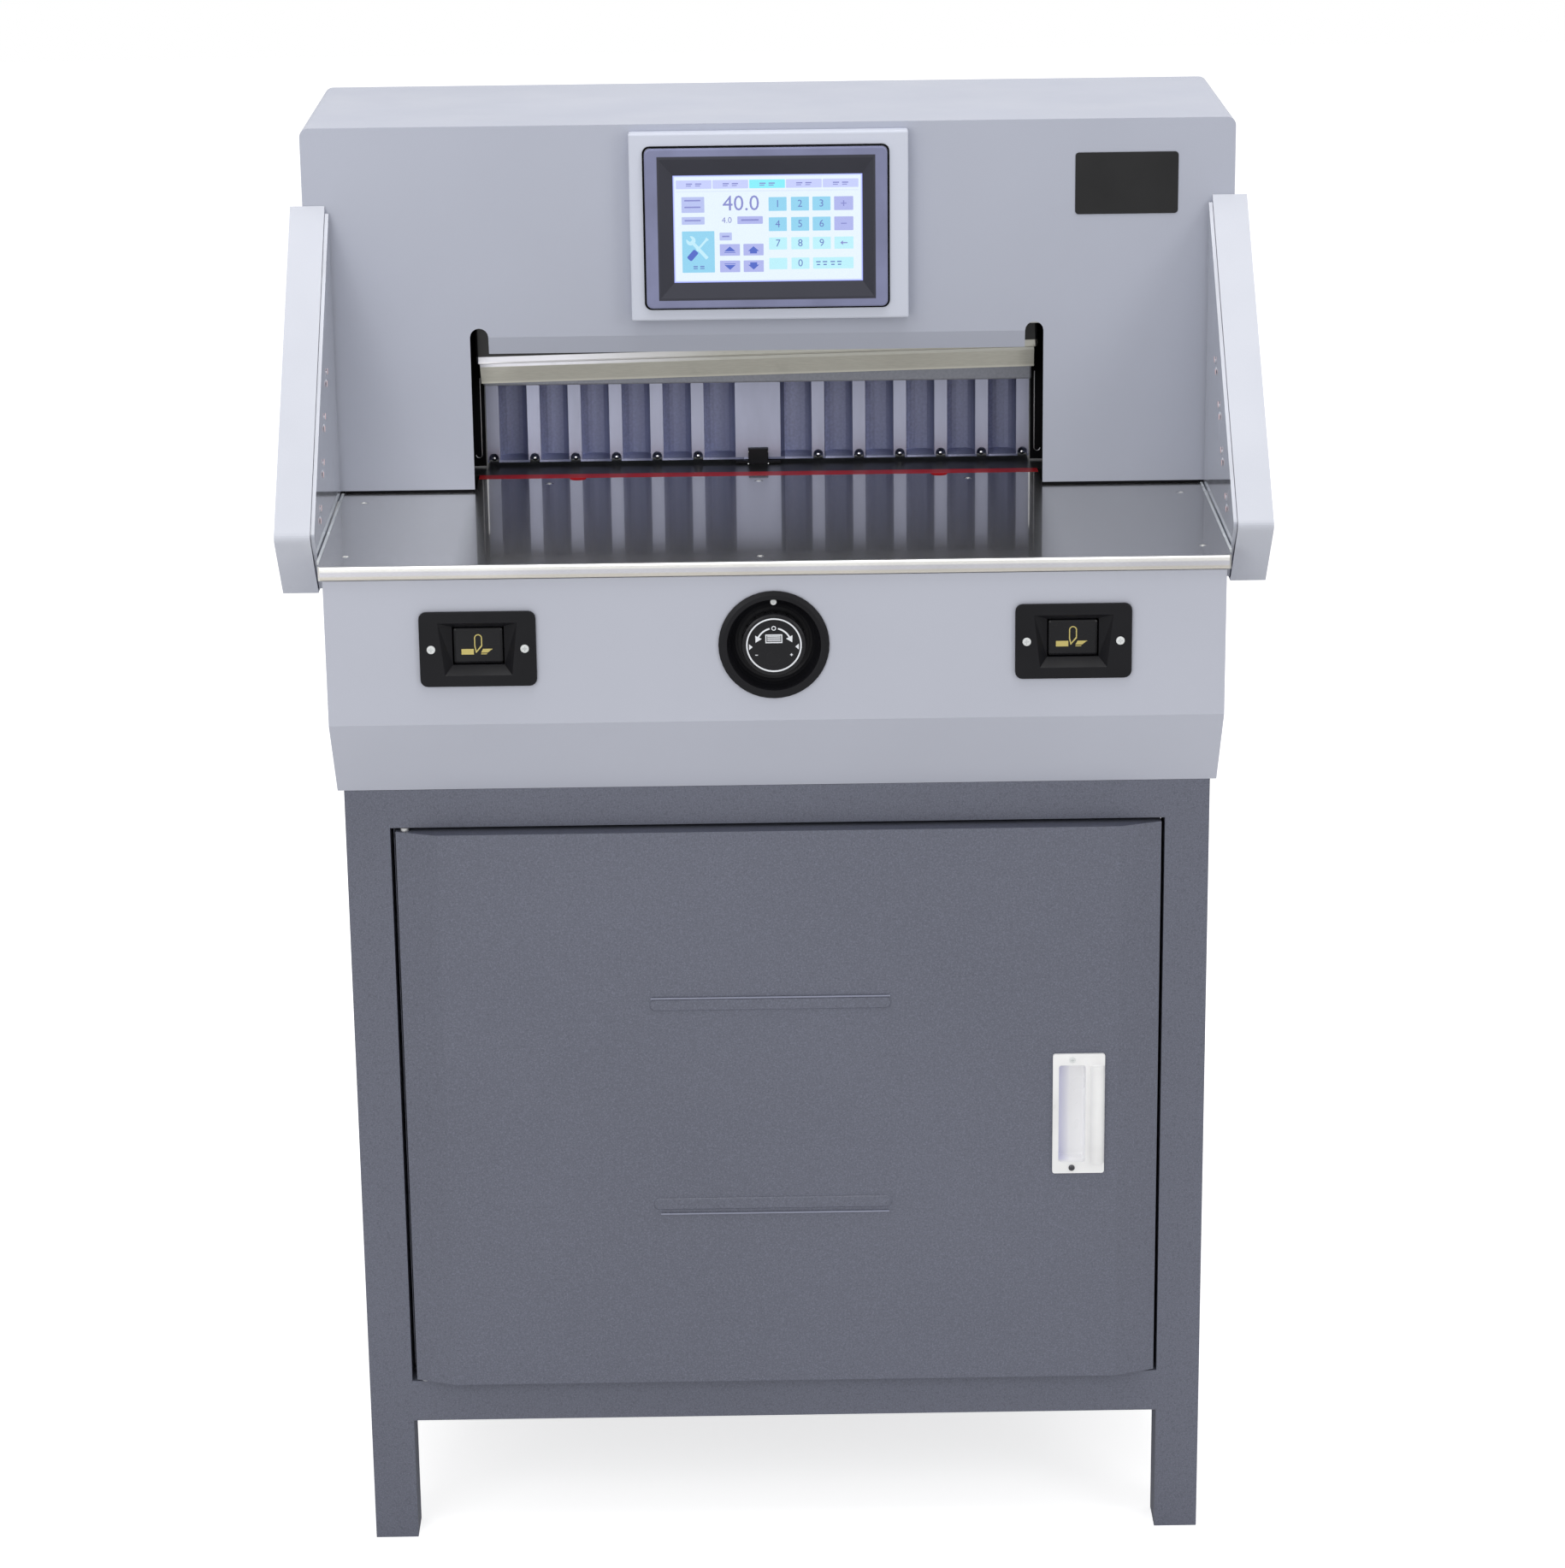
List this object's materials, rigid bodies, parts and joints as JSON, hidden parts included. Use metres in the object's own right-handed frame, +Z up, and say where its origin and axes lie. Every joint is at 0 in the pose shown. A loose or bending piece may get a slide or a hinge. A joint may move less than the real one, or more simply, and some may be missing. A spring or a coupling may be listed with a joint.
{
  "type": "automatic paper guillotine",
  "caption": "Floor-standing electric paper guillotine with a clamp, powered back gauge, side light guards, touch screen and a cabinet stand with a door.",
  "frame": {"origin": "centre of the machine's bounding box, on the floor under its feet", "axes": "+X to the operator's right, +Y to the back, +Z up"},
  "size_m": [0.7984, 0.85, 1.192],
  "materials": {
    "housing_grey": "satin light grey powder coat",
    "guard_grey": "satin pale grey powder coat",
    "stand_blue_grey": "fine-textured blue grey powder coat",
    "steel": "ground steel",
    "bright_steel": "bright steel",
    "cast_grey": "grey machined casting",
    "black_plastic": "black moulding",
    "dark_grey_plastic": "dark grey moulding",
    "white_plastic": "white moulding",
    "red_plastic": "red cutting stick",
    "dark_glass": "glossy grey panel",
    "screen_glass": "lit touch panel",
    "belt_rubber": "black rubber"
  },
  "bodies": {
    "machine": {"apron_cover": "housing_grey", "base_plate": "cast_grey", "bridge": "cast_grey", "button_housing_left": "black_plastic", "button_housing_right": "black_plastic", "cabinet_floor": "stand_blue_grey", "cabinet_shell": "stand_blue_grey", "clamp_belt": "belt_rubber", "clamp_motor": "dark_grey_plastic", "control_box": "cast_grey", "cutting_stick": "red_plastic", "front_cover": "housing_grey", "front_table": "steel", "gauge_motor": "dark_grey_plastic", "guard_left": "guard_grey", "guard_right": "guard_grey", "guard_window_left": "dark_glass", "guard_window_right": "dark_glass", "guide_rod_left": "bright_steel", "guide_rod_right": "bright_steel", "handwheel_dish": "black_plastic", "handwheel_encoder": "dark_grey_plastic", "hinge_pin_lower": "bright_steel", "hinge_pin_upper": "bright_steel", "hood": "housing_grey", "knife_gearbox": "cast_grey", "knife_motor": "dark_grey_plastic", "lead_screw_bearer": "cast_grey", "lower_cover": "housing_grey", "power_inlet": "black_plastic", "rear_table": "steel", "rear_walls": "housing_grey", "screen_bezel": "dark_grey_plastic", "screen_frame": "housing_grey", "side_frame_left": "cast_grey", "side_frame_right": "cast_grey", "stand_frame": "stand_blue_grey", "table_bed": "cast_grey", "table_edge_trim": "bright_steel", "touch_screen": "screen_glass"},
    "door": {"cabinet_door": "stand_blue_grey", "door_handle": "white_plastic"},
    "pull_rod": {"knife_pull_rod": "steel"},
    "knife": {"knife_carrier": "cast_grey", "knife_blade": "bright_steel"},
    "crank": {"crank_disc": "steel"},
    "clamp": {"clamp_beam": "cast_grey"},
    "left_spindle": {"clamp_spindle_left": "steel"},
    "right_spindle": {"clamp_spindle_right": "steel"},
    "clamp_wheel": {"clamp_drive_wheel": "steel"},
    "gauge": {"back_gauge": "cast_grey", "gauge_block": "black_plastic", "gauge_carriage": "cast_grey"},
    "gauge_screw": {"lead_screw": "steel"},
    "knob": {"handwheel_knob": "black_plastic"},
    "left_button": {"cut_button_left": "black_plastic"},
    "right_button": {"cut_button_right": "black_plastic"}
  },
  "joints": [
    {"name": "door_hinge", "type": "hinge", "parent": "machine", "child": "door", "pos_m": [-0.3071, -0.3702, 0.39615], "axis": [0, 0, -1], "range_deg": [0, 110]},
    {"name": "knife_drop", "type": "slide", "parent": "machine", "child": "pull_rod", "axis": [0, 0, -1], "range_m": [0, 0.0901]},
    {"name": "knife_swing", "type": "hinge", "parent": "pull_rod", "child": "knife", "pos_m": [0.212, -0.147, 1.04], "axis": [0, 1, 0], "range_deg": [0, 1.1]},
    {"name": "crank_turn", "type": "hinge", "parent": "machine", "child": "crank", "pos_m": [0.1842, -0.127, 0.76115], "axis": [0, 1, 0], "range_deg": [0, 180]},
    {"name": "clamp_drop", "type": "slide", "parent": "machine", "child": "clamp", "axis": [0, 0, -1], "range_m": [0, 0.0782]},
    {"name": "left_spindle_turn", "type": "hinge", "parent": "machine", "child": "left_spindle", "pos_m": [-0.1815, -0.098, 1.1503], "axis": [0, 0, 1], "range_deg": [0, 1410]},
    {"name": "right_spindle_turn", "type": "hinge", "parent": "machine", "child": "right_spindle", "pos_m": [0.1585, -0.098, 1.1503], "axis": [0, 0, 1], "range_deg": [0, 1410]},
    {"name": "clamp_wheel_turn", "type": "hinge", "parent": "machine", "child": "clamp_wheel", "pos_m": [-0.0115, -0.098, 1.1503], "axis": [0, 0, 1], "range_deg": [0, 1410]},
    {"name": "gauge_travel", "type": "slide", "parent": "machine", "child": "gauge", "axis": [0, 1, 0], "range_m": [0, 0.42]},
    {"name": "lead_screw_turn", "type": "hinge", "parent": "machine", "child": "gauge_screw", "pos_m": [-0.0115, -0.0767, 0.808], "axis": [0, 1, 0], "range_deg": [0, 7562]},
    {"name": "knob_turn", "type": "hinge", "parent": "machine", "child": "knob", "pos_m": [-0.0015, -0.4215, 0.812], "axis": [0, 1, 0], "continuous": true},
    {"name": "left_button_press", "type": "slide", "parent": "machine", "child": "left_button", "axis": [0, 1, 0], "range_m": [0, 0.004], "stiffness_N_per_m": 400},
    {"name": "right_button_press", "type": "slide", "parent": "machine", "child": "right_button", "axis": [0, 1, 0], "range_m": [0, 0.004], "stiffness_N_per_m": 400}
  ],
  "couplings": [
    {"joint": "knife_swing", "follows": "knife_drop", "rad_per_m": 0.2131},
    {"joint": "crank_turn", "follows": "knife_drop", "rad_per_m": 34.86},
    {"joint": "left_spindle_turn", "follows": "clamp_drop", "rad_per_m": 314.16},
    {"joint": "right_spindle_turn", "follows": "clamp_drop", "rad_per_m": 314.16},
    {"joint": "clamp_wheel_turn", "follows": "clamp_drop", "rad_per_m": 314.16},
    {"joint": "lead_screw_turn", "follows": "gauge_travel", "rad_per_m": 314.16}
  ]
}
